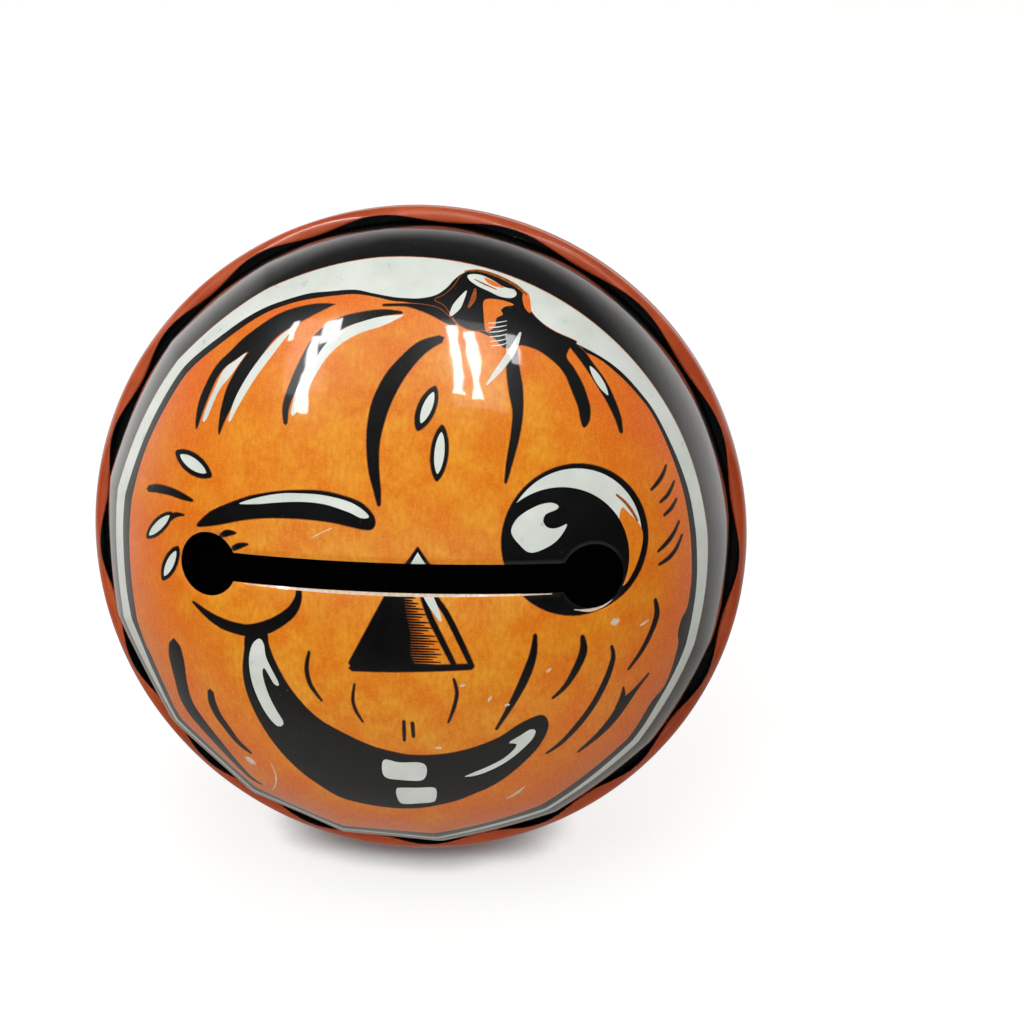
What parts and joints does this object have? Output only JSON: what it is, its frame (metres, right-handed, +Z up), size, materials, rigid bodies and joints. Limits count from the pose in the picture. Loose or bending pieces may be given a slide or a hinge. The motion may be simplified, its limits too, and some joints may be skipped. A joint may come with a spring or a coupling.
{
  "type": "bell noisemaker",
  "caption": "Round tin party noisemaker: two crimped domes, a slotted jack-o'-lantern face, loose rattle pellets and a turned wooden handle.",
  "frame": {"origin": "on the floor, under the middle of the bounding box, with the toy resting on its rim and on the butt of its handle", "axes": "-Y is where the face looks, +Z up, X along the slot; the bell's axis leans back 17.952 degrees"},
  "size_m": [0.089, 0.1448, 0.0861],
  "materials": {
    "printed_tin": "glossy lithographed tinplate: orange face, white ring, black skirt",
    "orange_tin": "glossy deep orange enamel on tinplate",
    "turned_wood": "clear lacquered turned hardwood",
    "plain_steel": "dull bright steel",
    "pellet_steel": "worn steel ball"
  },
  "bodies": {
    "bell": {"front_shell": "printed_tin", "back_shell": "orange_tin", "handle": "turned_wood", "handle_nail": "plain_steel", "nail_washer": "plain_steel"},
    "front_ball": {"pellet_1": "pellet_steel"},
    "middle_ball": {"pellet_2": "pellet_steel"},
    "back_ball": {"pellet_3": "pellet_steel"}
  },
  "joints": [
    {"name": "front_ball_roll", "type": "hinge", "parent": "bell", "child": "front_ball", "pos_m": [0, -0.04803, 0.04516], "axis": [0, -0.9513, 0.3082], "continuous": true},
    {"name": "middle_ball_roll", "type": "hinge", "parent": "bell", "child": "middle_ball", "pos_m": [0, -0.03852, 0.04208], "axis": [0, -0.9513, 0.3082], "continuous": true},
    {"name": "back_ball_roll", "type": "hinge", "parent": "bell", "child": "back_ball", "pos_m": [0, -0.02901, 0.03899], "axis": [0, -0.9513, 0.3082], "continuous": true}
  ]
}
